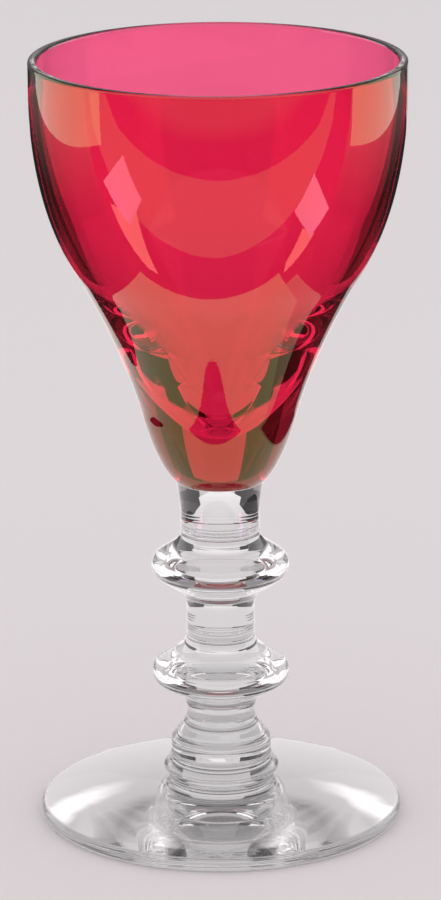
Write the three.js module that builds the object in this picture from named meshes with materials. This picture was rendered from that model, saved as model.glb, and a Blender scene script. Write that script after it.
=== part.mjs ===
// Liqueur glass. A blown bowl with a thick, solid bottom stands on a colourless stem: a collar, two
// flattened knops with a neck between them, a bell-shaped knop, a ring and a round foot. Each piece
// is a separate gather of glass, and it meets the next one on a flat, level seam.
// Millimetres, +Z up. The origin is in the middle of the foot, on the surface that the glass rests on.
import * as THREE from 'three';

// Heights of the pieces, from seam to seam, from the table up
const footHeight = 5.4;
const ringHeight = 5.2;
const bellKnopHeight = 5.8;
const lowerKnopHeight = 9.9;
const middleNeckHeight = 5.8;
const upperKnopHeight = 9.75;
const collarHeight = 7.15;
const bowlHeight = 59.9;

// Foot
const footDiameter = 51.4;
const footRimThickness = 1.85;
const footRimRound = 0.9;
const footRise = 1.45; // climb of the foot's top from its rim to its hub
const footHubOverhang = 0.35; // how far the hub stands out from the drum above it
const footHubFillet = 2.2;
const restRingWidth = 4; // flat ring under the rim, which the glass stands on
const footHollow = 0.7; // depth of the hollow inside that ring

// Ring: a short drum with a thin bead round it
const drumDiameter = 14.1;
const beadOverhang = 1.1; // how far the bead stands out from the drum
const beadCentre = 1.25; // widest point, above the piece's lower seam
const beadSlope = 48; // degrees of the bead's faces from level
const beadEdgeRound = 0.55;
const beadFilletBelow = 0.8;
const beadFilletAbove = 3;

// Bell-shaped knop, whose wide end has the drum's diameter
const bellEdgeBand = 0.35; // upright band above the seam
const bellEdgeRound = 0.7;
const bellLean = 36.5; // degrees of the bell's side from upright
const bellFillet = 3;

// Flattened knops
const neckDiameter = 9.6;
const knopEdgeRound = 1.9;
const knopFillet = 2.8;
const lowerKnopDiameter = 19.35;
const lowerKnopCentre = 4.5; // widest point, above the piece's lower seam
const lowerKnopSlope = 31.5; // degrees of the knop's faces from level
const upperKnopDiameter = 19.4;
const upperKnopCentre = 4.45;
const upperKnopSlope = 34;

// Collar
const collarDiameter = 11.2;
const collarTopDiameter = 12.4;
const collarTopLean = 14; // degrees from upright
const collarFlareHeight = 5.6;

// Outside of the bowl. Heights are above its seam with the collar, and leans are degrees from upright.
const seatDiameter = 12.6;
const seatLean = 48;
const waistDiameter = 21.8;
const waistHeight = 10;
const waistLean = 14;
const shoulderDiameter = 39.6;
const shoulderHeight = 30;
const shoulderLean = 32;
const rimDiameter = 52;
const uprightRimHeight = 4.4; // height of the upright band below the lip

// Inside of the bowl
const rimWall = 1.3;
const lipRound = 0.5;
const shoulderWall = 1.8;
const bowlFloor = 8; // solid glass under the inside
const insideTipRadius = 4.2;
const insideConeLean = 35;

// Fullness of the smooth stretches: how long a stretch keeps its direction at that end, as a share of
// the straight distance between its ends
const fullness = {
  collarFoot: 0.45,
  collarTop: 0.3,
  seat: 0.27,
  waistBelow: 0.25,
  waistAbove: 0.17,
  shoulderBelow: 0.38,
  shoulderAbove: 0.37,
  insideCone: 0.3,
  belly: 0.26,
};

// Each gather has softened edges at its ends, so a fine crease runs round every seam.
const seamEase = 0.12;

// Fineness of the facets
const facetsRound = 48;
const arcStep = 20; // degrees between points on a rounded corner
const shortSteps = 5; // steps along a short smooth stretch
const longSteps = 9;

// Heights of the seams
const ringSeam = footHeight;
const bellSeam = ringSeam + ringHeight;
const lowerKnopSeam = bellSeam + bellKnopHeight;
const middleNeckSeam = lowerKnopSeam + lowerKnopHeight;
const upperKnopSeam = middleNeckSeam + middleNeckHeight;
const collarSeam = upperKnopSeam + upperKnopHeight;
const bowlSeam = collarSeam + collarHeight;
const lipHeight = bowlSeam + bowlHeight;

// The rounding of the foot's rim takes no more than half of the rim's thickness.
const rimRound = Math.min(footRimRound, footRimThickness / 2);

const radians = THREE.MathUtils.degToRad;

// A point on the half section that is turned round the axis
const spot = (radius, height) => new THREE.Vector2(radius, height);

// How far along each of its straight sides a corner's rounding reaches
function roundingReach(before, corner, after, round) {
  const side = before.at.clone().sub(corner.at);
  const halfAngle = side.angleTo(after.at.clone().sub(corner.at)) / 2;
  return round / Math.tan(halfAngle);
}

// An outline through corners { at, round }. Each rounded corner becomes an arc, and a rounding that
// would run into its neighbour's on a short side is made smaller in proportion.
function filletedOutline(corners) {
  const last = corners.length - 1;
  const reaches = corners.map((corner, index) => {
    const isRounded = corner.round && index > 0 && index < last;
    return isRounded ? roundingReach(corners[index - 1], corner, corners[index + 1], corner.round) : 0;
  });
  return corners.flatMap((corner, index) => {
    if (!reaches[index]) return [corner.at];
    const [before, after] = [corners[index - 1], corners[index + 1]];
    const roomBefore = corner.at.distanceTo(before.at) / (reaches[index] + reaches[index - 1]);
    const roomAfter = corner.at.distanceTo(after.at) / (reaches[index] + reaches[index + 1]);
    const share = Math.min(1, roomBefore, roomAfter);
    return roundedCorner(before.at, corner.at, after.at, corner.round * share);
  });
}

// Points along the arc that rounds one corner between two straight sides
function roundedCorner(before, corner, after, radius) {
  const toBefore = before.clone().sub(corner).normalize();
  const toAfter = after.clone().sub(corner).normalize();
  const halfAngle = toBefore.angleTo(toAfter) / 2;
  const toCentre = toBefore.clone().add(toAfter).normalize();
  const centre = corner.clone().addScaledVector(toCentre, radius / Math.sin(halfAngle));
  const start = corner.clone().addScaledVector(toBefore, radius / Math.tan(halfAngle));
  const turn = (Math.PI - 2 * halfAngle) * -Math.sign(toBefore.cross(toAfter));
  const steps = Math.max(1, Math.ceil(Math.abs(turn) / radians(arcStep)));
  return Array.from({ length: steps + 1 }, (_, step) =>
    start.clone().rotateAround(centre, (turn * step) / steps));
}

// A smooth stretch between two points, with its lean from upright at each. The fullness at an end is
// how long the stretch keeps that end's direction, as a share of the distance between the points.
function smoothStretch(from, to, steps) {
  const reach = from.at.distanceTo(to.at);
  const [fromLean, toLean] = [radians(from.lean), radians(to.lean)];
  const leaving = spot(Math.sin(fromLean), Math.cos(fromLean)).multiplyScalar(reach * from.fullness);
  const arriving = spot(Math.sin(toLean), Math.cos(toLean)).multiplyScalar(reach * to.fullness);
  const [first, second] = [from.at.clone().add(leaving), to.at.clone().sub(arriving)];
  return new THREE.CubicBezierCurve(from.at, first, second, to.at).getPoints(steps);
}

// The three corners of a knop or bead with straight faces and a rounded edge, between two necks
function knopCorners({ centre, diameter, slope, edgeRound, below, above }) {
  const tip = diameter / 2 - edgeRound + edgeRound / Math.sin(radians(slope));
  const fall = Math.tan(radians(slope));
  return [
    { at: spot(below.radius, centre - (tip - below.radius) * fall), round: below.fillet },
    { at: spot(tip, centre), round: edgeRound },
    { at: spot(above.radius, centre + (tip - above.radius) * fall), round: above.fillet },
  ];
}

// The colourless stem's outline, from the top of the foot's rim to the seam under the bowl
function stemOutline() {
  const drumRadius = drumDiameter / 2;
  const neckRadius = neckDiameter / 2;
  const collarRadius = collarDiameter / 2;
  const footRadius = footDiameter / 2;
  const hubRadius = drumRadius + footHubOverhang;
  const bellTop = bellSeam + bellEdgeBand + (drumRadius - neckRadius) / Math.tan(radians(bellLean));
  const straight = filletedOutline([
    { at: spot(footRadius, 0) },
    { at: spot(footRadius, footRimThickness), round: rimRound },
    { at: spot(hubRadius, footRimThickness + footRise), round: footHubFillet },
    ...knopCorners({
      centre: ringSeam + beadCentre,
      diameter: drumDiameter + 2 * beadOverhang,
      slope: beadSlope,
      edgeRound: beadEdgeRound,
      below: { radius: hubRadius, fillet: beadFilletBelow },
      above: { radius: drumRadius, fillet: beadFilletAbove },
    }),
    { at: spot(drumRadius, bellSeam + bellEdgeBand), round: bellEdgeRound },
    { at: spot(neckRadius, bellTop), round: bellFillet },
    ...knopCorners({
      centre: lowerKnopSeam + lowerKnopCentre,
      diameter: lowerKnopDiameter,
      slope: lowerKnopSlope,
      edgeRound: knopEdgeRound,
      below: { radius: neckRadius, fillet: knopFillet },
      above: { radius: neckRadius, fillet: knopFillet },
    }),
    ...knopCorners({
      centre: upperKnopSeam + upperKnopCentre,
      diameter: upperKnopDiameter,
      slope: upperKnopSlope,
      edgeRound: knopEdgeRound,
      below: { radius: neckRadius, fillet: knopFillet },
      above: { radius: collarRadius, fillet: knopFillet },
    }),
    { at: spot(collarRadius, bowlSeam - collarFlareHeight) },
  ]);
  const flareFoot = { at: straight.at(-1), lean: 0, fullness: fullness.collarFoot };
  const flareTop = {
    at: spot(collarTopDiameter / 2, bowlSeam),
    lean: collarTopLean,
    fullness: fullness.collarTop,
  };
  return [...straight, ...smoothStretch(flareFoot, flareTop, shortSteps).slice(1)];
}

// Outside of the bowl, from its seam with the collar to the upright band below the lip
function bowlOutside() {
  const seat = { at: spot(seatDiameter / 2, bowlSeam), lean: seatLean, fullness: fullness.seat };
  const waist = { at: spot(waistDiameter / 2, bowlSeam + waistHeight), lean: waistLean };
  const shoulder = { at: spot(shoulderDiameter / 2, bowlSeam + shoulderHeight), lean: shoulderLean };
  const intoWaist = { ...waist, fullness: fullness.waistBelow };
  const outOfWaist = { ...waist, fullness: fullness.waistAbove };
  const intoShoulder = { ...shoulder, fullness: fullness.shoulderBelow };
  return [
    ...smoothStretch(seat, intoWaist, shortSteps),
    ...smoothStretch(outOfWaist, intoShoulder, longSteps).slice(1),
    ...smoothStretch(...cupEnds(shoulder, rimDiameter / 2), longSteps).slice(1),
  ];
}

// Both ends of the cup's curve, from a point on the shoulder to the upright band below the lip
function cupEnds(shoulder, bandRadius) {
  return [
    { ...shoulder, fullness: fullness.shoulderAbove },
    { at: spot(bandRadius, lipHeight - uprightRimHeight), lean: 0, fullness: fullness.belly },
  ];
}

// Inside of the bowl, from the rounded tip at the bottom to the upright band below the lip
function bowlInside() {
  const tipCentre = bowlSeam + bowlFloor + insideTipRadius;
  const tipTurn = radians(90 - insideConeLean);
  const tipSteps = Math.ceil(tipTurn / radians(arcStep));
  const tip = Array.from({ length: tipSteps + 1 }, (_, step) =>
    spot(0, tipCentre - insideTipRadius).rotateAround(spot(0, tipCentre), (tipTurn * step) / tipSteps));
  const inward = spot(-Math.cos(radians(shoulderLean)), Math.sin(radians(shoulderLean)));
  const shoulder = {
    at: spot(shoulderDiameter / 2, bowlSeam + shoulderHeight).addScaledVector(inward, shoulderWall),
    lean: shoulderLean,
  };
  const cone = { at: tip.at(-1), lean: insideConeLean, fullness: fullness.insideCone };
  const intoShoulder = { ...shoulder, fullness: fullness.insideCone };
  return [
    ...tip,
    ...smoothStretch(cone, intoShoulder, shortSteps).slice(1),
    ...smoothStretch(...cupEnds(shoulder, rimDiameter / 2 - rimWall), longSteps).slice(1),
  ];
}

// The rounded lip that joins the outside to the inside
function lipOutline() {
  const outer = rimDiameter / 2;
  const inner = outer - rimWall;
  const bandFoot = lipHeight - uprightRimHeight;
  const lip = filletedOutline([
    { at: spot(outer, bandFoot) },
    { at: spot(outer, lipHeight), round: lipRound },
    { at: spot(inner, lipHeight), round: lipRound },
    { at: spot(inner, bandFoot) },
  ]);
  return lip.slice(1, -1);
}

// The part of a rising outline between two heights
function stretchBetween(outline, low, high) {
  const crossing = (height) => {
    const index = outline.findIndex((end) => end.y >= height);
    const [start, end] = [outline[Math.max(index - 1, 0)], outline[index]];
    const rise = end.y - start.y;
    return start.clone().lerp(end, rise > 0 ? (height - start.y) / rise : 1);
  };
  return [crossing(low), ...outline.filter((place) => place.y > low && place.y < high), crossing(high)];
}

// A gather's outline with a softened edge where it meets its neighbour
const easedLow = (outline) => [spot(outline[0].x - seamEase, outline[0].y - seamEase), ...outline];
const easedHigh = (outline) => [...outline, spot(outline.at(-1).x - seamEase, outline.at(-1).y + seamEase)];

function gather(name, halfSection, material) {
  const geometry = new THREE.LatheGeometry(halfSection, facetsRound);
  geometry.rotateX(Math.PI / 2);
  const mesh = new THREE.Mesh(geometry, material);
  mesh.name = name;
  return mesh;
}

// A piece of the stem between two seams
function stemPiece(name, low, high) {
  const side = easedHigh(easedLow(stretchBetween(stem, low + seamEase, high - seamEase)));
  return gather(name, [spot(0, low), ...side, spot(0, high)], clearGlass);
}

function foot() {
  const restRadius = footDiameter / 2 - rimRound;
  const hollowRadius = restRadius - restRingWidth;
  const hollowSteps = 5;
  const hollow = Array.from({ length: hollowSteps + 1 }, (_, step) => {
    const share = step / hollowSteps;
    return spot(hollowRadius * share, footHollow * (1 - share * share));
  });
  const rim = filletedOutline([
    { at: spot(hollowRadius, 0) },
    { at: spot(footDiameter / 2, 0), round: rimRound },
    { at: spot(footDiameter / 2, footRimThickness) },
  ]);
  const rimMiddle = footRimThickness / 2;
  const top = stretchBetween(stem, rimMiddle, footHeight - seamEase);
  const halfSection = [...hollow, ...rim.slice(1, -1), ...easedHigh(top), spot(0, footHeight)];
  return gather('foot', halfSection, clearGlass);
}

function bowl() {
  const outside = bowlOutside();
  const side = easedLow(stretchBetween(outside, bowlSeam + seamEase, outside.at(-1).y));
  const halfSection = [spot(0, bowlSeam), ...side, ...lipOutline(), ...bowlInside().reverse()];
  return gather('bowl', halfSection, rubyGlass);
}

const clearGlass = new THREE.MeshStandardMaterial({
  color: 0xe6eae8,
  roughness: 0.04,
  metalness: 0,
  transparent: true,
  opacity: 0.35,
});

const rubyGlass = new THREE.MeshStandardMaterial({
  color: 0xd21f4c,
  roughness: 0.05,
  metalness: 0,
  transparent: true,
  opacity: 0.6,
});

const stem = stemOutline();

const glass = new THREE.Group();
glass.add(
  foot(),
  stemPiece('foot_ring', ringSeam, bellSeam),
  stemPiece('bell_knop', bellSeam, lowerKnopSeam),
  stemPiece('lower_knop', lowerKnopSeam, middleNeckSeam),
  stemPiece('middle_neck', middleNeckSeam, upperKnopSeam),
  stemPiece('upper_knop', upperKnopSeam, collarSeam),
  stemPiece('bowl_collar', collarSeam, bowlSeam),
  bowl(),
);

export default glass;
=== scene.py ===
# %% [markdown]
# A liqueur glass, made by a glassmaker in eight gathers
#
# The object is a small stemmed glass. Its bowl is clear glass with a thin ruby skin on the outside.
# Under it stands a colourless stem: a collar, two flattened knops with a neck between them, a
# bell-shaped knop, a ring and a round foot. A glassmaker sticks these gathers to each other while
# they are hot, so they meet in level seams that show as fine rings.
#
# The construction model is loaded first, as a fixed frame. It is faceted, so every piece is made
# again here with a fine surface, in metres, at the place where its solid is.

# %% Load the frame
import math

import bpy
from mathutils import Matrix, Quaternion, Vector
from mathutils.geometry import interpolate_bezier


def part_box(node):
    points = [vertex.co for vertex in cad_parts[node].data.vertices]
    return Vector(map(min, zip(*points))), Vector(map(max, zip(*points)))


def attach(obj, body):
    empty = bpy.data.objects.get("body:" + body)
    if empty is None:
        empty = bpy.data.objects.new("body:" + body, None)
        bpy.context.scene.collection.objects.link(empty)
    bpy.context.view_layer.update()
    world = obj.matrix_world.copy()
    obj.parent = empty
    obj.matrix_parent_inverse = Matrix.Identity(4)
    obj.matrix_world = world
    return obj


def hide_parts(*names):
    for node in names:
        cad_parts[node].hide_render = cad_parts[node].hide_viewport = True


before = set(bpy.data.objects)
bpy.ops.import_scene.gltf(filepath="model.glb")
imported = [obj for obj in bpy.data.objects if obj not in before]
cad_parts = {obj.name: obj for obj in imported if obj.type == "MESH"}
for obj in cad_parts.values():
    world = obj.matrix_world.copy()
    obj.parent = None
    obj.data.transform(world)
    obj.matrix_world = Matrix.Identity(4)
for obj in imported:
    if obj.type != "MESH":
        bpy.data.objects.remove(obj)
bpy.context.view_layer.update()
MM = 0.001
print("nodes:", sorted(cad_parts))

# %% [markdown]
# The camera
#
# A glass is judged by what shows through it, so the camera comes first. It looks at the glass from
# a little above the rim with a long lens, which keeps the ellipses of the rim and the foot flat.
# Its place was found by matching both ellipses. It also leans a fraction of a degree, as the
# photographer's did.

# %% Camera
CAMERA_PLACE = Vector((0.11, -610.2, 232.4)) * MM
CAMERA_DIP = math.radians(16.37)
CAMERA_ROLL = math.radians(-0.29)
LENS = 182
CLIP_START = 0.01
CLIP_END = 20


def add_camera():
    bpy.ops.object.select_all(action="DESELECT")
    bpy.ops.object.camera_add(location=CAMERA_PLACE)
    camera = bpy.context.active_object
    aim = Quaternion((1, 0, 0), math.radians(90) - CAMERA_DIP)
    lean = Quaternion((0, 0, 1), CAMERA_ROLL)
    camera.rotation_euler = (aim @ lean).to_euler()
    camera.data.lens = LENS
    camera.data.clip_start = CLIP_START
    camera.data.clip_end = CLIP_END
    bpy.context.scene.camera = camera
    return camera


add_camera()
print("camera at", tuple(round(x, 4) for x in CAMERA_PLACE))

# %% [markdown]
# The outline of the stem
#
# Everything on this glass is round about one axis, so each piece is an outline turned round it. The
# outline could be traced as a long list of points, but a turned form is better described as its
# maker sees it: straight strokes from corner to corner, each corner softened by a rounding of its
# own radius. Heights come from the frame's boxes, so that the pieces sit where their solids are. The
# fine rings that a tool leaves beside the seams are raised on the outline at the end.

# %% Heights and widths from the frame
def low(node):
    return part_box(node)[0].z


def widest(node):
    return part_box(node)[1].x


ring_seam = low("foot_ring")
bell_seam = low("bell_knop")
lower_knop_seam = low("lower_knop")
middle_neck_seam = low("middle_neck")
upper_knop_seam = low("upper_knop")
collar_seam = low("bowl_collar")
bowl_seam = low("bowl")
lip_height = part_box("bowl")[1].z
rim_radius = widest("bowl")
foot_radius = widest("foot")
print("seams in mm:", [round(z / MM, 2) for z in (ring_seam, bell_seam, lower_knop_seam, collar_seam)])

# %% Rounded corners
ARC_STEP = math.radians(6)


def spot(radius, height):
    return Vector((radius, height))


def reach_of(before, corner, after):
    """How far along its sides a corner's rounding reaches"""
    half = (before[0] - corner[0]).angle(after[0] - corner[0]) / 2
    return corner[1] / math.tan(half)


def arc_round(before, corner, after, radius):
    """Points along the arc that rounds a corner between two straight sides"""
    to_before = (before - corner).normalized()
    to_after = (after - corner).normalized()
    half = to_before.angle(to_after) / 2
    centre = corner + (to_before + to_after).normalized() * (radius / math.sin(half))
    start = corner + to_before * (radius / math.tan(half))
    side = to_before.x * to_after.y - to_before.y * to_after.x
    turn = math.copysign(math.pi - 2 * half, -side)
    steps = max(1, math.ceil(abs(turn) / ARC_STEP))
    return [centre + Matrix.Rotation(turn * k / steps, 2) @ (start - centre) for k in range(steps + 1)]


def rounded(corners):
    """An outline through corners (place, rounding); short sides make their roundings smaller"""
    last = len(corners) - 1
    reaches = [reach_of(corners[k - 1], corners[k], corners[k + 1]) if 0 < k < last and corners[k][1] else 0
               for k in range(last + 1)]
    points = []
    for k, (place, rounding) in enumerate(corners):
        if not reaches[k]:
            points.append(place)
            continue
        before, after = corners[k - 1][0], corners[k + 1][0]
        share = min(1, (place - before).length / (reaches[k] + reaches[k - 1]),
                    (place - after).length / (reaches[k] + reaches[k + 1]))
        points += arc_round(before, place, after, rounding * share)
    return points


def smooth(start, leaving, end, arriving, steps):
    """A smooth stretch between two spots, each with (degrees from upright, pull as a share of the length)"""
    reach = (end - start).length
    leans = [math.radians(lean) for lean, _ in (leaving, arriving)]
    first_aim, last_aim = [Vector((math.sin(lean), math.cos(lean))) for lean in leans]
    first = start + first_aim * reach * leaving[1]
    second = end - last_aim * reach * arriving[1]
    return [place.copy() for place in interpolate_bezier(start, first, second, end, steps)]


print("corners and strokes are ready; an arc turns", round(math.degrees(ARC_STEP)), "degrees a step")

# %% Sizes of the foot and the ring above it
FOOT_RIM = 1.85 * MM
FOOT_RIM_ROUND = 0.9 * MM
FOOT_RISE = 1.45 * MM
DRUM_RADIUS = 7.05 * MM
DRUM_FILLET = 3 * MM
HUB_RADIUS = DRUM_RADIUS + 0.35 * MM
HUB_FILLET = 2.2 * MM
RING_HEIGHT = ring_seam + 1.25 * MM
RING_SLOPE = 48
RING_EDGE = 0.55 * MM
RING_FILLET = 0.8 * MM
print("foot's rim and rise in mm:", round(FOOT_RIM / MM, 2), round(FOOT_RISE / MM, 2))

# %% Sizes of the bell, the knops and the collar
NECK_RADIUS = 4.8 * MM
BELL_FOOT = bell_seam + 0.35 * MM
BELL_LEAN = 36.5
BELL_EDGE = 0.7 * MM
BELL_FILLET = 3 * MM
LOWER_KNOP_HEIGHT = lower_knop_seam + 4.5 * MM
LOWER_KNOP_SLOPE = 31.5
UPPER_KNOP_HEIGHT = upper_knop_seam + 4.45 * MM
UPPER_KNOP_SLOPE = 34
KNOP_EDGE = 1.9 * MM
KNOP_FILLET = 2.8 * MM
COLLAR_RADIUS = 5.6 * MM
COLLAR_TOP_RADIUS = 6.2 * MM
COLLAR_FLARE = 5.6 * MM
# The ends of a smooth stroke: degrees from upright, and pull as a share of its length
FLARE_START = (0, 0.45)
FLARE_END = (14, 0.3)
STEM_STEPS = 24
print("necks are", round(2 * NECK_RADIUS / MM, 1), "mm thick")

# %% Outline of the stem
def knop(centre, radius, slope, edge, under, over):
    """Three corners of a knop with straight faces between two necks, each neck (radius, fillet)"""
    tip = radius - edge + edge / math.sin(math.radians(slope))
    fall = math.tan(math.radians(slope))
    return [
        (spot(under[0], centre - (tip - under[0]) * fall), under[1]),
        (spot(tip, centre), edge),
        (spot(over[0], centre + (tip - over[0]) * fall), over[1]),
    ]


def stem_outline():
    bell_top = BELL_FOOT + (DRUM_RADIUS - NECK_RADIUS) / math.tan(math.radians(BELL_LEAN))
    neck = (NECK_RADIUS, KNOP_FILLET)
    strokes = rounded([
        (spot(foot_radius, 0), 0),
        (spot(foot_radius, FOOT_RIM), FOOT_RIM_ROUND),
        (spot(HUB_RADIUS, FOOT_RIM + FOOT_RISE), HUB_FILLET),
        *knop(RING_HEIGHT, widest("foot_ring"), RING_SLOPE, RING_EDGE,
              (HUB_RADIUS, RING_FILLET), (DRUM_RADIUS, DRUM_FILLET)),
        (spot(DRUM_RADIUS, BELL_FOOT), BELL_EDGE),
        (spot(NECK_RADIUS, bell_top), BELL_FILLET),
        *knop(LOWER_KNOP_HEIGHT, widest("lower_knop"), LOWER_KNOP_SLOPE, KNOP_EDGE, neck, neck),
        *knop(UPPER_KNOP_HEIGHT, widest("upper_knop"), UPPER_KNOP_SLOPE, KNOP_EDGE,
              neck, (COLLAR_RADIUS, KNOP_FILLET)),
        (spot(COLLAR_RADIUS, bowl_seam - COLLAR_FLARE), 0),
    ])
    flare = smooth(strokes[-1], FLARE_START, spot(COLLAR_TOP_RADIUS, bowl_seam), FLARE_END, STEM_STEPS)
    return strokes + flare[1:]


stem = stem_outline()
print("points on the stem's outline:", len(stem))

# %% Fine tool rings on the outline
BEAD_HALF = 0.2 * MM
BEAD_PROUD = 0.03 * MM
BEAD_STEPS = 4
# The seam under each ring, and how far above it the ring is
BEADS = (
    (ring_seam, 1.5 * MM),
    (lower_knop_seam, 0.9 * MM),
    (middle_neck_seam, 0.9 * MM),
    (middle_neck_seam, 1.4 * MM),
    (middle_neck_seam, 1.8 * MM),
    (upper_knop_seam, 0.9 * MM),
    (collar_seam, 0.55 * MM),
    (collar_seam, 1.05 * MM),
)


def at_height(outline, height):
    """The point where a rising outline reaches a height"""
    k = next(k for k, place in enumerate(outline) if place.y >= height)
    before, after = outline[max(k - 1, 0)], outline[k]
    rise = after.y - before.y
    return before.lerp(after, (height - before.y) / rise if rise > 0 else 1)


def with_bead(outline, height):
    """The outline with a fine raised ring at a height, as a tool leaves it"""
    bead = []
    for k in range(-BEAD_STEPS, BEAD_STEPS + 1):
        part = k / BEAD_STEPS
        place = at_height(outline, height + part * BEAD_HALF)
        bead.append(place + spot(BEAD_PROUD * math.cos(part * math.pi / 2) ** 2, 0))
    under = [place for place in outline if place.y < height - BEAD_HALF]
    over = [place for place in outline if place.y > height + BEAD_HALF]
    return under + bead + over


for seam, offset in BEADS:
    stem = with_bead(stem, seam + offset)
print("points with the tool rings:", len(stem))

# %% [markdown]
# Turning a piece
#
# One vertex is set on the axis, extruded from point to point along the outline, and spun round the
# axis. Doubled points on the seam of the spin and at the poles are merged, and the normals are then
# turned outwards. A screw modifier would do the same, but the spin leaves a plain mesh at once.

# %% Turn an outline into a closed piece
SEGMENTS = 256
MERGE = 0.0005 * MM
SHARP_EDGE = math.radians(30)


def turned(name, outline):
    bpy.ops.object.select_all(action="DESELECT")
    bpy.ops.mesh.primitive_plane_add(size=MM, location=(0, 0, 0))
    piece = bpy.context.active_object
    piece.name = name
    bpy.ops.object.mode_set(mode="EDIT")
    bpy.ops.mesh.select_all(action="SELECT")
    bpy.ops.mesh.merge(type="CENTER")
    bpy.ops.transform.translate(value=(0, 0, outline[0].y))
    for here, there in zip(outline, outline[1:]):
        step = there - here
        bpy.ops.mesh.extrude_region_move(TRANSFORM_OT_translate={"value": (step.x, 0, step.y)})
    bpy.ops.mesh.select_all(action="SELECT")
    bpy.ops.mesh.spin(steps=SEGMENTS, angle=2 * math.pi, center=(0, 0, 0), axis=(0, 0, 1))
    bpy.ops.mesh.select_all(action="SELECT")
    bpy.ops.mesh.remove_doubles(threshold=MERGE)
    bpy.ops.mesh.normals_make_consistent(inside=False)
    bpy.ops.object.mode_set(mode="OBJECT")
    bpy.ops.object.shade_smooth_by_angle(angle=SHARP_EDGE)
    return piece


print("steps round the axis:", SEGMENTS)

# %% [markdown]
# The six gathers of the stem
#
# On the real glass each bit of hot glass is a solid lump that was pressed on to the one below it. The
# outline is one line from foot to bowl, so it is cut at the seams, and each part is closed to the
# axis and turned. The ends are eased by about a tenth of a millimetre, which leaves the fine groove
# that shows where two gathers met. Cutting one line keeps the neighbours flush, which separate outlines
# would not promise.

# %% Cut the outline at the seams
SEAM_EASE = 0.12 * MM


def between(outline, bottom, top):
    middle = [place for place in outline if bottom < place.y < top]
    return [at_height(outline, bottom), *middle, at_height(outline, top)]


def gather_outline(bottom, top):
    """A closed half section of the stem between two seams, with its ends softened"""
    side = between(stem, bottom + SEAM_EASE, top - SEAM_EASE)
    first = side[0] - spot(SEAM_EASE, SEAM_EASE)
    end = side[-1] + spot(-SEAM_EASE, SEAM_EASE)
    return [spot(0, bottom), first, *side, end, spot(0, top)]


STEM_NODES = ("foot_ring", "bell_knop", "lower_knop", "middle_neck", "upper_knop", "bowl_collar")
seams = [ring_seam, bell_seam, lower_knop_seam, middle_neck_seam, upper_knop_seam, collar_seam, bowl_seam]
pieces = {}
for node, bottom, top in zip(STEM_NODES, seams, seams[1:]):
    pieces[node] = turned(node + "_glass", gather_outline(bottom, top))
print("turned:", {node: len(piece.data.vertices) for node, piece in pieces.items()})

# %% [markdown]
# The foot
#
# The foot is a disc that was opened out while hot. Its top rises in a long soft curve to the ring, its
# rim is rounded, and it rests on a narrow ring of its underside. A disc with a bevel would have a flat
# underside, which shows a much duller pattern through the glass than a real foot does. So the
# underside is slightly hollow, and its outline is turned like the others.

# %% Foot
REST_RING = 4 * MM
FOOT_HOLLOW = 0.2 * MM
HOLLOW_STEPS = 16


def foot_outline():
    hollow_radius = foot_radius - FOOT_RIM_ROUND - REST_RING
    hollow = [spot(hollow_radius * k / HOLLOW_STEPS, FOOT_HOLLOW * (1 - (k / HOLLOW_STEPS) ** 2))
              for k in range(HOLLOW_STEPS + 1)]
    rim = rounded([
        (spot(hollow_radius, 0), 0),
        (spot(foot_radius, 0), FOOT_RIM_ROUND),
        (spot(foot_radius, FOOT_RIM), 0),
    ])
    top = between(stem, FOOT_RIM / 2, ring_seam - SEAM_EASE)
    end = top[-1] + spot(-SEAM_EASE, SEAM_EASE)
    return [*hollow, *rim[1:-1], *top, end, spot(0, ring_seam)]


pieces["foot"] = turned("foot_glass", foot_outline())
print("foot in mm:", [round(side / MM, 1) for side in pieces["foot"].dimensions])

# %% [markdown]
# The bowl
#
# The bowl was blown. Its outside is drawn in above the stem, swells to a shoulder and stands upright
# at the rim. Its inside is a narrow cone with a round tip, high above the seam, so the bottom of the
# bowl is a thick lens of glass. That lens bends most of what is seen through it, so both faces have to
# be right. Each is a few long strokes, every one with a lean at its two ends, which stay smoother than
# a traced line. The wall is not a Solidify modifier's even shell: it is thin at the rim, thicker at the
# shoulder and solid below. The lip is rounded, as fire leaves it.

# %% Outside of the bowl
# Each aim is the end of a stroke: degrees from upright, and pull as a share of its length
SEAT_RADIUS = 6.3 * MM
SEAT_AIM = (48, 0.27)
WAIST_RADIUS = 10.9 * MM
WAIST_HEIGHT = 10 * MM
WAIST_LEAN = 14
WAIST_UNDER = (WAIST_LEAN, 0.25)
WAIST_OVER = (WAIST_LEAN, 0.17)
SHOULDER_RADIUS = 19.8 * MM
SHOULDER_HEIGHT = 30 * MM
SHOULDER_LEAN = 32
SHOULDER_UNDER = (SHOULDER_LEAN, 0.38)
SHOULDER_OVER = (SHOULDER_LEAN, 0.37)
BAND_HEIGHT = 4.4 * MM
BAND_AIM = (0, 0.26)
BOWL_STEPS = 40
shoulder = spot(SHOULDER_RADIUS, bowl_seam + SHOULDER_HEIGHT)
band_height = lip_height - BAND_HEIGHT


def cup(start, band_radius):
    """From the shoulder up to the straight band under the rim"""
    return smooth(start, SHOULDER_OVER, spot(band_radius, band_height), BAND_AIM, BOWL_STEPS)


def bowl_outside():
    seat = spot(SEAT_RADIUS, bowl_seam)
    waist = spot(WAIST_RADIUS, bowl_seam + WAIST_HEIGHT)
    lower = smooth(seat, SEAT_AIM, waist, WAIST_UNDER, BOWL_STEPS)
    middle = smooth(waist, WAIST_OVER, shoulder, SHOULDER_UNDER, BOWL_STEPS)
    return [*lower, *middle[1:], *cup(shoulder, rim_radius)[1:]]


print("shoulder at height in mm:", round(shoulder.y / MM, 1))

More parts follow.
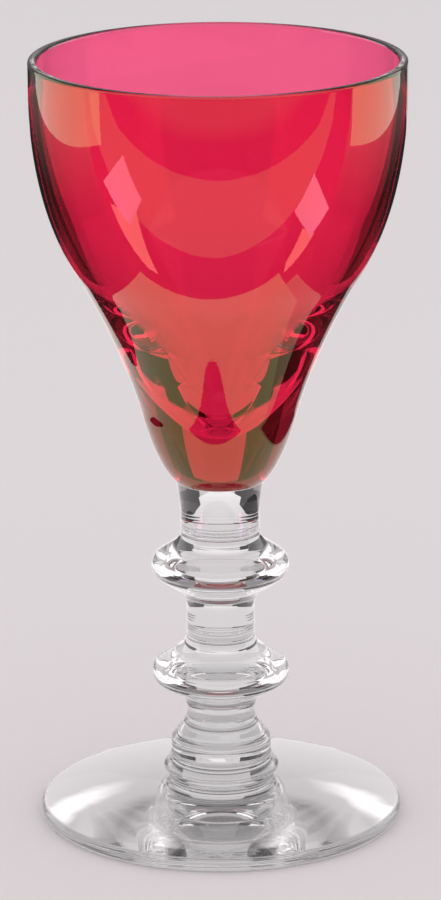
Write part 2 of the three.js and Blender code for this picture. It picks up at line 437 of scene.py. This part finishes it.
# %% Inside of the bowl
RIM_WALL = 1.3 * MM
SHOULDER_WALL = 1.8 * MM
FLOOR_THICK = 8 * MM
TIP_RADIUS = 4.2 * MM
CONE_LEAN = 35
CONE_PULL = 0.3


def bowl_inside():
    centre = bowl_seam + FLOOR_THICK + TIP_RADIUS
    turn = math.radians(90 - CONE_LEAN)
    steps = math.ceil(turn / ARC_STEP)
    tip = [spot(TIP_RADIUS * math.sin(turn * k / steps), centre - TIP_RADIUS * math.cos(turn * k / steps))
           for k in range(steps + 1)]
    inward = spot(-math.cos(math.radians(SHOULDER_LEAN)), math.sin(math.radians(SHOULDER_LEAN)))
    inner_shoulder = shoulder + inward * SHOULDER_WALL
    cone = smooth(tip[-1], (CONE_LEAN, CONE_PULL), inner_shoulder, (SHOULDER_LEAN, CONE_PULL), BOWL_STEPS)
    return [*tip, *cone[1:], *cup(inner_shoulder, rim_radius - RIM_WALL)[1:]]


print("inside's lowest point in mm:", round(bowl_inside()[0].y / MM, 1))

# %% Lip and whole bowl
LIP_ROUND = 0.5 * MM


def lip_outline():
    lip = rounded([
        (spot(rim_radius, band_height), 0),
        (spot(rim_radius, lip_height), LIP_ROUND),
        (spot(rim_radius - RIM_WALL, lip_height), LIP_ROUND),
        (spot(rim_radius - RIM_WALL, band_height), 0),
    ])
    return lip[1:-1]


def bowl_outline():
    outside = bowl_outside()
    side = between(outside, bowl_seam + SEAM_EASE, outside[-1].y)
    first = side[0] - spot(SEAM_EASE, SEAM_EASE)
    return [spot(0, bowl_seam), first, *side, *lip_outline(), *reversed(bowl_inside())]


pieces["bowl"] = turned("bowl_glass", bowl_outline())
print("bowl in mm:", [round(side / MM, 1) for side in pieces["bowl"].dimensions])

# %% [markdown]
# Helpers for material nodes
#
# A material is a tree of small nodes. Adding each node by hand takes three or four lines, so the ones
# that come up again get a short name here. A group of nodes would also save lines, but plain helpers
# keep each material readable from top to bottom.

# %% Numbers and colours
def put(tree, socket, value):
    """Fills a socket: another socket is linked to it, a number or a colour is set"""
    if isinstance(value, bpy.types.NodeSocket):
        tree.links.new(value, socket)
    else:
        socket.default_value = value


def maths(tree, operation, first, second):
    node = tree.nodes.new("ShaderNodeMath")
    node.operation = operation
    put(tree, node.inputs[0], first)
    put(tree, node.inputs[1], second)
    return node.outputs[0]


def both(tree, first, second):
    return maths(tree, "MINIMUM", first, second)


def either(tree, first, second):
    return maths(tree, "MAXIMUM", first, second)


def above(tree, value, limit):
    return maths(tree, "GREATER_THAN", value, limit)


def below(tree, value, limit):
    return maths(tree, "LESS_THAN", value, limit)


def choose(tree, factor, at_zero, at_one, kind="FLOAT"):
    """The first value where the factor is 0, the second where it is 1"""
    mix = tree.nodes.new("ShaderNodeMix")
    mix.data_type = kind
    put(tree, mix.inputs["Factor"], factor)
    put(tree, mix.inputs["A"], at_zero)
    put(tree, mix.inputs["B"], at_one)
    return mix.outputs["Result"]


def ramp(tree, value, start, end, first, second):
    """A value carried evenly from one range to another"""
    node = tree.nodes.new("ShaderNodeMapRange")
    for name, setting in (("From Min", start), ("From Max", end), ("To Min", first), ("To Max", second)):
        put(tree, node.inputs[name], setting)
    put(tree, node.inputs["Value"], value)
    return node.outputs["Result"]


print("helpers ready: put, maths, both, either, above, below, choose, ramp")

# %% Places, kinds of ray and the end of a tree
def parts_of(tree, vector):
    node = tree.nodes.new("ShaderNodeSeparateXYZ")
    tree.links.new(vector, node.inputs["Vector"])
    return node.outputs["X"], node.outputs["Y"], node.outputs["Z"]


def length_of(tree, vector):
    node = tree.nodes.new("ShaderNodeVectorMath")
    node.operation = "LENGTH"
    tree.links.new(vector, node.inputs[0])
    return node.outputs["Value"]


def lighting_rays(tree):
    """1 for rays that only carry light to a matt surface"""
    path = tree.nodes.new("ShaderNodeLightPath")
    bounced = either(tree, path.outputs["Is Diffuse Ray"], path.outputs["Diffuse Depth"])
    return both(tree, either(tree, bounced, path.outputs["Is Shadow Ray"]), 1)


def camera_rays(tree):
    return tree.nodes.new("ShaderNodeLightPath").outputs["Is Camera Ray"]


def through_rays(tree):
    """1 for rays that have passed through glass, 0 for mirrored ones"""
    return tree.nodes.new("ShaderNodeLightPath").outputs["Is Transmission Ray"]


def new_material(name):
    material = bpy.data.materials.new(name)
    material.use_nodes = True
    material.node_tree.nodes.clear()
    return material, material.node_tree


def finish(tree, shader, kind="ShaderNodeOutputMaterial"):
    output = tree.nodes.new(kind)
    tree.links.new(shader.outputs[0], output.inputs["Surface"])


def glow(tree, color):
    shader = tree.nodes.new("ShaderNodeEmission")
    put(tree, shader.inputs["Color"], color)
    return shader


def choose_shader(tree, factor, at_zero, at_one):
    mix = tree.nodes.new("ShaderNodeMixShader")
    put(tree, mix.inputs["Fac"], factor)
    tree.links.new(at_zero.outputs[0], mix.inputs[1])
    tree.links.new(at_one.outputs[0], mix.inputs[2])
    return mix


print("helpers ready: places, rays and shaders")

# %% [markdown]
# Clear glass
#
# The stem is colourless, with a faint green tint that comes and goes, because glass is never mixed
# quite evenly. It was shaped by hand, so its surface is never quite flat: slow waves bend the
# reflections, fine marks run round the piece where a tool touched it while it turned, and a tiny grain
# breaks up the highlights. Three bumps on
# top of each other give these. Their depths are real ones, from a hundredth of a millimetre down to
# less than a thousandth, because deeper bumps make glass look like ice.

# %% Bumps for hand-worked glass
WAVE_SIZE = 11 * MM
WAVE_DEPTH = 0.012 * MM
TOOL_MARK_SIZE = 0.9 * MM
TOOL_MARK_DEPTH = 0.0012 * MM
TOOL_MARK_LENGTH = 30
GRAIN_SIZE = 0.7 * MM
GRAIN_DEPTH = 0.0006 * MM


def noise(tree, size, length=1):
    """Noise with grains of a size; length stretches them round the piece"""
    spread = tree.nodes.new("ShaderNodeMapping")
    spread.inputs["Scale"].default_value = (1 / (size * length), 1 / (size * length), 1 / size)
    tree.links.new(tree.nodes.new("ShaderNodeTexCoord").outputs["Object"], spread.inputs["Vector"])
    grains = tree.nodes.new("ShaderNodeTexNoise")
    grains.inputs["Scale"].default_value = 1
    tree.links.new(spread.outputs["Vector"], grains.inputs["Vector"])
    return grains.outputs["Fac"]


def rippled(tree, height, depth, over=None):
    bump = tree.nodes.new("ShaderNodeBump")
    bump.inputs["Distance"].default_value = depth
    tree.links.new(height, bump.inputs["Height"])
    if over:
        tree.links.new(over, bump.inputs["Normal"])
    return bump.outputs["Normal"]


def hand_worked(tree, wave_size):
    """Slow waves with fine tool marks on them"""
    waves = rippled(tree, noise(tree, wave_size), WAVE_DEPTH)
    return rippled(tree, noise(tree, TOOL_MARK_SIZE, TOOL_MARK_LENGTH), TOOL_MARK_DEPTH, waves)


print("deepest bump in mm:", round(WAVE_DEPTH / MM, 4))

# %% Clear glass
GLASS_IOR = 1.52
CLEAR_PALE = (0.99, 1, 0.995, 1)
CLEAR_GREEN = (0.97, 0.985, 0.98, 1)


def glass(tree, color, normal):
    shader = tree.nodes.new("ShaderNodeBsdfPrincipled")
    put(tree, shader.inputs["Base Color"], color)
    shader.inputs["Roughness"].default_value = 0
    shader.inputs["IOR"].default_value = GLASS_IOR
    shader.inputs["Transmission Weight"].default_value = 1
    put(tree, shader.inputs["Normal"], normal)
    return shader


def clear_glass():
    material, tree = new_material("clear_glass")
    grain = rippled(tree, noise(tree, GRAIN_SIZE), GRAIN_DEPTH, hand_worked(tree, WAVE_SIZE))
    color = choose(tree, noise(tree, WAVE_SIZE), CLEAR_GREEN, CLEAR_PALE, "RGBA")
    finish(tree, glass(tree, color, grain))
    return material


clear = clear_glass()
print("nodes of", clear.name, ":", len(clear.node_tree.nodes))

# %% [markdown]
# Ruby skin
#
# The red is not in the whole wall. It is a skin on the outside, thinner than a hair, that lets red
# light through and mirrors light with a green and golden sheen. Colouring the whole wall would make
# the thick bottom nearly black, which the real bowl is not. So the clear wall stays, and only its
# outer faces get this material. Its Base Color is the tint of one crossing. Specular Tint above 1
# gives the sheen, because such a skin mirrors more green light than bare glass does.

# %% Ruby skin
RUBY_DEEP = (0.93, 0.0145, 0.067, 1)
RUBY_LIGHT = (0.93, 0.0185, 0.079, 1)
RUBY_SHEEN = (1.15, 1.5, 0.45, 1)
RUBY_STREAK = 4


def ruby_skin():
    material, tree = new_material("ruby_skin")
    color = choose(tree, noise(tree, WAVE_SIZE, RUBY_STREAK), RUBY_DEEP, RUBY_LIGHT, "RGBA")
    shader = glass(tree, color, hand_worked(tree, 2 * WAVE_SIZE))
    shader.inputs["Specular Tint"].default_value = RUBY_SHEEN
    finish(tree, shader)
    return material


ruby = ruby_skin()
print("nodes of", ruby.name, ":", len(ruby.node_tree.nodes))

# %% [markdown]
# Fused seams
#
# Where two gathers were joined hot there is no surface left, so nothing mirrors there. The pieces
# still end in flat discs, because each one is closed. Two glass discs against each other would mirror
# the room at every seam. A transparent material lets light straight on instead, and under the bowl it
# keeps the tint of the skin that the light crosses there.

# %% Fused seams
NO_TINT = (1, 1, 1, 1)
RUBY_SEAM_TINT = (0.96, 0.128, 0.27, 1)


def fused_seam(name, tint):
    material, tree = new_material(name)
    opening = tree.nodes.new("ShaderNodeBsdfTransparent")
    opening.inputs["Color"].default_value = tint
    finish(tree, opening)
    return material


seam_clear = fused_seam("fused_seam", NO_TINT)
seam_ruby = fused_seam("fused_ruby_seam", RUBY_SEAM_TINT)
print("seams:", seam_clear.name, seam_ruby.name)

# %% Dress the pieces
FLAT = 0.9999
BARE_LIP = 0.1 * MM
SEAM_PLACE = 1
SKIN_PLACE = 2


def is_seam(face):
    level = abs(face.normal.z) > FLAT
    return level and any(abs(face.center.z - seam) < MERGE for seam in seams)


def is_skin(face):
    outward = face.normal.x * face.center.x + face.normal.y * face.center.y > 0
    return outward and face.center.z < lip_height - BARE_LIP


def dress(piece, seam, skin=None):
    """Clear glass all over, a fused seam on the flat ends, and a skin on the outside if there is one"""
    for material in filter(None, (clear, seam, skin)):
        piece.data.materials.append(material)
    for face in piece.data.polygons:
        if is_seam(face):
            face.material_index = SEAM_PLACE
        elif skin and is_skin(face):
            face.material_index = SKIN_PLACE


for node, piece in pieces.items():
    if node == "bowl":
        dress(piece, seam_ruby, ruby)
    else:
        dress(piece, seam_clear)
    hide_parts(node)
    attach(piece, "root")
print("seam faces:", {node: sum(face.material_index == SEAM_PLACE for face in piece.data.polygons)
                      for node, piece in pieces.items()})

# %% [markdown]
# The paper floor
#
# The glass stands on a pale sheet. Everything that can be seen in it comes from the studio, because
# glass has no look of its own: it bends what lies behind it and mirrors what lies before it. A real
# photographer sets out pale sheets, a darker strip and dark cloth, to draw edges into the glass. The
# floor does that here. The camera and the light meet plain pale paper, with the glass's shadow on it.
# Rays that come out of the glass see a picture of the studio's floor instead. It glows evenly, apart
# from a painted shadow of the glass under the foot, so that noise from the shadow under the glass
# doesn't grey it. All depths here are measured from the glass towards the back, in metres.

# %% Paper
FLOOR_SIZE = 6.0
FLOOR_DROP = 0.05 * MM
PAPER = 0.745
# Painted shade: the paper darkens towards the back, where its light falls off
FAR_PAPER = 0.69
FAR_PAPER_FROM = 0.1
FAR_PAPER_TO = 0.9
PAPER_TINT = (1, 0.947, 0.967)


def tinted(tree, shade):
    color = tree.nodes.new("ShaderNodeVectorMath")
    color.operation = "SCALE"
    color.inputs[0].default_value = PAPER_TINT
    put(tree, color.inputs["Scale"], shade)
    return color.outputs["Vector"]


def matt_paper(tree, depth):
    """The paper itself, with painted shade that makes it a little darker far behind the glass"""
    paper = tree.nodes.new("ShaderNodeBsdfDiffuse")
    shade = ramp(tree, depth, FAR_PAPER_FROM, FAR_PAPER_TO, PAPER, FAR_PAPER)
    put(tree, paper.inputs["Color"], tinted(tree, shade))
    return paper


print("paper tint:", PAPER_TINT)

# %% The floor as the bowl mirrors it
NEAR_SHEET_HALF = 0.075
NEAR_SHEET_FRONT = -0.033
STRIP_FRONT = -0.235
STRIP_BACK = -0.093
STRIP_SLANT = -0.15
STRIP_SHADE = 0.55
CLOTH_FRONT = -0.048
# Painted lamp light on the cloth: dark near the glass, brighter towards the sides where the lamps graze it
CLOTH_SHADED = 0.03
CLOTH_LIT = 0.3
SHADED_SIDE = 0.18
LIT_SIDE = 0.34
FAR_FRONT = -0.38
FARTHEST_FRONT = -0.53
FAR_FRONT_SHADE = 0.3


def mirrored_floor(tree, across, side, depth):
    """A pale sheet round the foot, a strip before it, cloth at the sides with painted lamp light that grows
    outwards, and dim floor far in front
    """
    sheet = both(tree, below(tree, side, NEAR_SHEET_HALF), above(tree, depth, NEAR_SHEET_FRONT))
    slant = maths(tree, "MULTIPLY", either(tree, across, 0), STRIP_SLANT)
    strip_back = maths(tree, "ADD", slant, STRIP_BACK)
    strip = both(tree, above(tree, depth, STRIP_FRONT), below(tree, depth, strip_back))
    cloth = maths(tree, "MULTIPLY", above(tree, depth, CLOTH_FRONT),
                  ramp(tree, side, SHADED_SIDE, LIT_SIDE, CLOTH_SHADED, CLOTH_LIT))
    far_front = ramp(tree, depth, FAR_FRONT, FARTHEST_FRONT, 0, FAR_FRONT_SHADE)
    papers = either(tree, maths(tree, "MULTIPLY", sheet, PAPER), maths(tree, "MULTIPLY", strip, STRIP_SHADE))
    return either(tree, papers, either(tree, cloth, far_front))


print("strip is", round((STRIP_BACK - STRIP_FRONT) / MM), "mm deep")

# %% [markdown]
# Streaks of light under the foot
#
# The thick hub and the rounded rim of a foot act as lenses. They gather the light of the studio into
# bright streaks on the paper under the foot and leave dark ones between them. Blender can trace such
# light, but it stays noisy for a long time. So the streaks are painted on the floor that shows through
# the foot, as a wheel of shares by the angle from the front. The wheel turns three degrees for each
# millimetre outwards, and a soft noise sways it, because real streaks are never straight.

# %% Streaks of light
HALF_TURN = 180
# Degrees from the front, and the share of light there
STREAKS = ((0, 0.9), (18, 0.9), (23, 0.35), (29, 1.2), (35, 2.2), (41, 1), (50, 0.6), (58, 0.35),
           (66, 0.65), (74, 0.95), (86, 1), (93, 2), (103, 2.1), (110, 1), (HALF_TURN, 1))
STREAK_SWAY = 0.04
STREAK_GRAIN = 7 * MM
STREAK_TURN = 3 / MM
STREAK_MIDDLE = 16 * MM
HUB_SHADOW = 6 * MM
STREAKS_FROM = 11 * MM
BRIGHT_FROM = 13 * MM
BRIGHT_TO = 18 * MM


def streak_wheel(tree, turn):
    """The share of light at a turn, where 0 is the front and 1 is the back"""
    wheel = tree.nodes.new("ShaderNodeValToRGB")
    put(tree, wheel.inputs["Fac"], turn)
    stops = wheel.color_ramp.elements
    stops.remove(stops[1])
    for degrees, share in STREAKS:
        stop = stops.new(degrees / HALF_TURN) if degrees else stops[0]
        stop.color = (share, share, share, 1)
    return wheel.outputs["Color"]


def streaks(tree, across, depth, from_axis):
    """How far the foot gathers or spreads the light; the bright streaks show only in its outer part"""
    angle = maths(tree, "ARCTAN2", maths(tree, "ABSOLUTE", across, 0), maths(tree, "MULTIPLY", depth, -1))
    outwards = maths(tree, "MULTIPLY", maths(tree, "SUBTRACT", from_axis, STREAK_MIDDLE),
                     STREAK_TURN / HALF_TURN)
    sway = ramp(tree, noise(tree, STREAK_GRAIN), 0, 1, -STREAK_SWAY, STREAK_SWAY)
    turn = maths(tree, "ADD", maths(tree, "DIVIDE", angle, math.pi), maths(tree, "ADD", outwards, sway))
    share = streak_wheel(tree, turn)
    outer = ramp(tree, from_axis, BRIGHT_FROM, BRIGHT_TO, 0, 1)
    gathered = choose(tree, outer, both(tree, share, 1), share)
    under_foot = both(tree, ramp(tree, from_axis, HUB_SHADOW, STREAKS_FROM, 0, 1),
                      below(tree, from_axis, foot_radius))
    return choose(tree, under_foot, 1, gathered)


print("bright streaks at", [degrees for degrees, share in STREAKS if share > 1], "degrees")

# %% The floor as it shows through the glass
SHEET_HALF = 0.08
FAR_SHEET_HALF = 0.15
WING_FRONT = 0.05
WING_SHADE = 0.04
WIDENS_FROM = 0.22
WIDENS_TO = 0.38
SHEET_NEAR = 0.1
SHEET_NEAR_SHADE = 0.68
SHEET_FAR = 0.32
SHEET_FAR_SHADE = 0.87
# The glass's shadow under the foot, painted on the sheet that shows through the glass
UNDER_FOOT = 12 * MM
UNDER_FOOT_SHADE = 0.47
CLEAR_OF_FOOT = 40 * MM


def floor_in_glass(tree, place, across, side, depth):
    """A sheet with the glass's painted shadow under the foot, brighter behind, with dark cloth on both sides
    of it
    """
    from_axis = length_of(tree, place)
    sheet = both(tree, ramp(tree, depth, SHEET_NEAR, SHEET_FAR, SHEET_NEAR_SHADE, SHEET_FAR_SHADE),
                 ramp(tree, from_axis, UNDER_FOOT, CLEAR_OF_FOOT, UNDER_FOOT_SHADE, SHEET_FAR_SHADE))
    sheet = maths(tree, "MULTIPLY", sheet, streaks(tree, across, depth, from_axis))
    edge = ramp(tree, depth, WIDENS_FROM, WIDENS_TO, SHEET_HALF, FAR_SHEET_HALF)
    wings = both(tree, above(tree, side, edge), above(tree, depth, WING_FRONT))
    return choose(tree, wings, sheet, WING_SHADE)


print("sheet behind the glass is", round(2 * SHEET_HALF / MM), "mm wide")

# %% Floor
def paper_material():
    material, tree = new_material("pale_paper")
    place = tree.nodes.new("ShaderNodeNewGeometry").outputs["Position"]
    across, depth = parts_of(tree, place)[:2]
    side = maths(tree, "ABSOLUTE", across, 0)
    shade = choose(tree, through_rays(tree), mirrored_floor(tree, across, side, depth),
                   floor_in_glass(tree, place, across, side, depth))
    plain = either(tree, lighting_rays(tree), camera_rays(tree))
    finish(tree, choose_shader(tree, plain, glow(tree, tinted(tree, shade)), matt_paper(tree, depth)))
    return material


bpy.ops.object.select_all(action="DESELECT")
bpy.ops.mesh.primitive_plane_add(size=FLOOR_SIZE, location=(0, 0, -FLOOR_DROP))
floor = bpy.context.active_object
floor.name = "floor"
floor.data.materials.append(paper_material())
print("floor nodes:", len(floor.data.materials[0].node_tree.nodes))

# %% [markdown]
# Cards round the glass
#
# Photographers stand white and tinted cards just outside the picture. Each one draws a shape on the
# glass: the pale shield on the lower bowl is a sheet near the foot, the two diamonds are pink cards
# at the sides, and the bright ends of the knops come from cards at the sides, at the front corners and
# at the back. The pink of the diamonds and the orange of the two flare cards are painted: they stand
# for lamp light that has come through the ruby skin. Two small dark flags keep the side cards out of
# the bowl. An area lamp would do the same as a card but would also light the floor. A card that only
# glass can see leaves the level of the light alone.

# %% A card that only the glass sees
LIGHT_IN_STEM = 0.5


def white(share):
    return tuple(share * part for part in PAPER_TINT) + (1,)


def card_material(name, light, in_mirror, stem_edge):
    """Glows for mirrored rays (in_mirror 1) or for bent ones (0), and more dimly inside the stem"""
    material, tree = new_material(name)
    from_origin = length_of(tree, tree.nodes.new("ShaderNodeNewGeometry").outputs["Position"])
    light = choose(tree, above(tree, from_origin, stem_edge), white(LIGHT_IN_STEM), light, "RGBA")
    shown = choose(tree, through_rays(tree), in_mirror, 1 - in_mirror)
    open_air = tree.nodes.new("ShaderNodeBsdfTransparent")
    finish(tree, choose_shader(tree, shown, open_air, glow(tree, light)))
    return material


def add_card(name, corners, light, in_mirror, stem_edge=0):
    """A flat card through four corners, given in order round it"""
    bpy.ops.object.select_all(action="DESELECT")
    bpy.ops.mesh.primitive_plane_add(size=1)
    card = bpy.context.active_object
    card.name = name
    for k, corner in zip(card.data.polygons[0].vertices, corners):
        card.data.vertices[k].co = corner
    card.data.materials.append(card_material(name + "_paper", light, in_mirror, stem_edge))
    card.visible_camera = False
    card.visible_diffuse = False
    card.visible_shadow = False


print("a white card at full light:", white(1))

# %% Level cards in front
CARD_LIGHT = 1.2
# The pink and orange glows are painted colour: they stand for lamp light that has come through the ruby skin
PINK_GLOW = (4.7, 1.7, 5.8, 1)
ORANGE_GLOW = (5, 1.4, 2.5, 1)
NEAR_SHEET = ((-0.058, -0.031), (0.045, -0.0425), (0.045, 0.17), (-0.058, 0.17))
LEFT_DIAMOND = ((-0.268, -0.167), (-0.139, -0.125), (-0.123, -0.073), (-0.224, -0.065))
RIGHT_DIAMOND = ((0.215, -0.127), (0.122, -0.108), (0.114, -0.055), (0.167, -0.048))
LEFT_FLARE = ((-0.175, -0.06), (-0.13, -0.098), (-0.059, -0.05), (-0.07, -0.048))
RIGHT_FLARE = ((0.123, -0.052), (0.115, -0.075), (0.072, -0.057), (0.063, -0.047))
# Name, height, corners as (across, depth), and light
LEVEL_CARDS = (
    ("near_sheet", 24 * MM, NEAR_SHEET, white(CARD_LIGHT)),
    ("left_diamond", 2 * MM, LEFT_DIAMOND, PINK_GLOW),
    ("right_diamond", 2 * MM, RIGHT_DIAMOND, PINK_GLOW),
    ("left_flare", 1 * MM, LEFT_FLARE, ORANGE_GLOW),
    ("right_flare", 1 * MM, RIGHT_FLARE, ORANGE_GLOW),
)


def level_card(name, height, corners, light):
    """A level card that the bowl mirrors; the stem may pass through it"""
    add_card(name, [Vector((x, y, height)) for x, y in corners], light, in_mirror=1,
             stem_edge=at_height(stem, height).length)


for card in LEVEL_CARDS:
    level_card(*card)
print("level cards:", len(LEVEL_CARDS))

# %% Upright cards behind, beside and at the front corners
FLAG_LIGHT = 0.03
BACK_ENDS = ((-0.107, 0.43), (0.157, 0.43))
# Name, low and high edge, share of white light, and 1 if only mirrored rays see it
BACK_CARDS = (
    ("back_rise", (0, 0.05), 0.95, 0),
    ("back_wall", (0.05, 0.23), 0.5, 0),
    ("back_rise_mirrored", (0, 0.09), 0.75, 1),
)
# Name, ends on the right-hand side, low and high edge, and share of white light
PAIRED_CARDS = (
    ("corner_card", ((0.428, -0.139), (0.289, -0.345)), (0.08, 0.45), CARD_LIGHT),
    ("side_card", ((0.428, 0.11), (0.428, -0.139)), (0.05, 0.3), CARD_LIGHT),
    ("flag", ((0.05, 0.02), (0.05, -0.02)), (0.067, 0.088), FLAG_LIGHT),
)


def upright_card(name, ends, edges, share, in_mirror):
    """A card over the line between two places on the floor, from its low edge to its high edge"""
    (x0, y0), (x1, y1) = ends
    low_edge, high_edge = edges
    corners = ((x0, y0, low_edge), (x1, y1, low_edge), (x1, y1, high_edge), (x0, y0, high_edge))
    add_card(name, [Vector(corner) for corner in corners], white(share), in_mirror)


for name, edges, share, in_mirror in BACK_CARDS:
    upright_card(name, BACK_ENDS, edges, share, in_mirror)
for hand, side in (("left", -1), ("right", 1)):
    for name, ends, edges, share in PAIRED_CARDS:
        upright_card(name + "_" + hand, [(side * x, y) for x, y in ends], edges, share, in_mirror=0)
print("upright cards:", len(BACK_CARDS) + 2 * len(PAIRED_CARDS))

# %% [markdown]
# Soft lights
#
# Two large softboxes stand at the sides. They give the broad pale panels beside the rim, and they
# light the stem from both sides. Small lamps would burn sharp white dots into the glass. A softbox's
# power is worked out from its area, so that its brightness stays the same when it is made larger. The
# floor doesn't need them, so only rays that the glass mirrors meet them, and the sky lights the paper
# evenly.

# %% Softboxes
SOFTBOX_SIDE = 0.345
LEFT_SOFTBOX_FRONT = -0.106
RIGHT_SOFTBOX_FRONT = -0.03
SOFTBOX_BACK = 0.42
SOFTBOX_TOP = 0.35
SOFTBOX_LIGHT = 1.5


def add_softbox(name, side, front):
    place = Vector((side, (front + SOFTBOX_BACK) / 2, SOFTBOX_TOP / 2))
    bpy.ops.object.select_all(action="DESELECT")
    bpy.ops.object.light_add(type="AREA", location=place)
    lamp = bpy.context.active_object
    lamp.name = name
    lamp.data.shape = "RECTANGLE"
    lamp.data.size = SOFTBOX_BACK - front
    lamp.data.size_y = SOFTBOX_TOP
    lamp.data.energy = SOFTBOX_LIGHT * math.pi * lamp.data.size * lamp.data.size_y
    lamp.rotation_euler = Vector((-side, 0, 0)).to_track_quat("-Z", "Y").to_euler()
    lamp.visible_camera = False
    lamp.visible_diffuse = False
    lamp.visible_transmission = False
    print(name, "power in watts:", round(lamp.data.energy, 3))


add_softbox("softbox_left", -SOFTBOX_SIDE, LEFT_SOFTBOX_FRONT)
add_softbox("softbox_right", SOFTBOX_SIDE, RIGHT_SOFTBOX_FRONT)

# %% [markdown]
# The room
#
# The world gives the even light and the rest of what the glass shows: a dim room, a bright ceiling
# towards the camera, a pale wall behind and two dark drapes. An image of a studio could stand here, but
# a few soft zones are enough and stay easy to change. A zone is given by the direction of a ray: its
# depth and height are shares of one. For the paper the sky is plain white at strength 1, so its colour
# renders about as it is written.

# %% The room as it is mirrored
AMBIENT = 1.0
ROOM_MIRRORED = 0.02
CEILING_MIRRORED = 0.9
CEILING_LOW = 0.35
WALL_DEPTH = 0.3
WALL_TOP = 0.75
WALL_DIM_HEIGHT = 0.15
WALL_LIT_HEIGHT = 0.28
WALL_LOW_MIRRORED = 0.25
WALL_MIRRORED = 0.5


def mirrored_room(tree, depth, height):
    """A bright ceiling on the camera's side, a pale wall behind the glass, dark elsewhere"""
    ceiling = both(tree, below(tree, depth, 0), above(tree, height, CEILING_LOW))
    wall = both(tree, above(tree, depth, WALL_DEPTH), below(tree, height, WALL_TOP))
    wall_light = ramp(tree, height, WALL_DIM_HEIGHT, WALL_LIT_HEIGHT, WALL_LOW_MIRRORED, WALL_MIRRORED)
    lit = either(tree, maths(tree, "MULTIPLY", ceiling, CEILING_MIRRORED),
                 maths(tree, "MULTIPLY", wall, wall_light))
    return either(tree, lit, ROOM_MIRRORED)


print("ceiling starts at", round(math.degrees(math.asin(CEILING_LOW))), "degrees")

# %% The room as it shows through the glass
ROOM_IN_GLASS = 0.22
ROOM_DEPTH = -0.5
CAMERA_SIDE_IN_GLASS = 0.04
CAMERA_SIDE_DEPTH = -0.6
DRAPE_IN_GLASS = 0.05
DRAPE_TOP = 0.42
DRAPE_FROM = 0.25
DRAPE_TO = 0.84


def room_in_glass(tree, across, depth, height):
    """A dim room, darkest on the camera's side, with two dark drapes at the back"""
    slope = maths(tree, "DIVIDE", maths(tree, "ABSOLUTE", across, 0), either(tree, depth, MM))
    drape = both(tree, above(tree, slope, DRAPE_FROM), below(tree, slope, DRAPE_TO))
    drape = both(tree, drape, both(tree, above(tree, depth, 0), below(tree, height, DRAPE_TOP)))
    room = ramp(tree, depth, CAMERA_SIDE_DEPTH, ROOM_DEPTH, CAMERA_SIDE_IN_GLASS, ROOM_IN_GLASS)
    return choose(tree, drape, room, DRAPE_IN_GLASS)


print("drapes from", round(math.degrees(math.atan(DRAPE_FROM))),
      "to", round(math.degrees(math.atan(DRAPE_TO))), "degrees")

# %% Room
def add_room():
    world = bpy.data.worlds.new("studio")
    bpy.context.scene.world = world
    world.use_nodes = True
    tree = world.node_tree
    tree.nodes.clear()
    across, depth, height = parts_of(tree, tree.nodes.new("ShaderNodeTexCoord").outputs["Generated"])
    shade = choose(tree, through_rays(tree), mirrored_room(tree, depth, height),
                   room_in_glass(tree, across, depth, height))
    shade = choose(tree, camera_rays(tree), shade, PAPER)
    shade = choose(tree, lighting_rays(tree), shade, AMBIENT)
    air = tree.nodes.new("ShaderNodeBackground")
    put(tree, air.inputs["Strength"], shade)
    tint = choose(tree, lighting_rays(tree), white(1), NO_TINT, "RGBA")
    put(tree, air.inputs["Color"], tint)
    finish(tree, air, "ShaderNodeOutputWorld")
    return world


print("room nodes:", len(add_room().node_tree.nodes))

# %% [markdown]
# Bounces
#
# A ray that enters the rim of the foot or a knop can run round inside it many times before it comes
# out. With the usual number of bounces it is given up on the way, and the rims turn black. More
# bounces cost a little time and let the light out again. The view is set to Standard, which shows a
# colour about as it is written.

# %% Bounces and colour
BOUNCES = 24
bpy.context.scene.cycles.max_bounces = BOUNCES
bpy.context.scene.cycles.glossy_bounces = BOUNCES
bpy.context.scene.cycles.transmission_bounces = BOUNCES
bpy.context.scene.view_settings.view_transform = "Standard"
print("bounces:", BOUNCES)
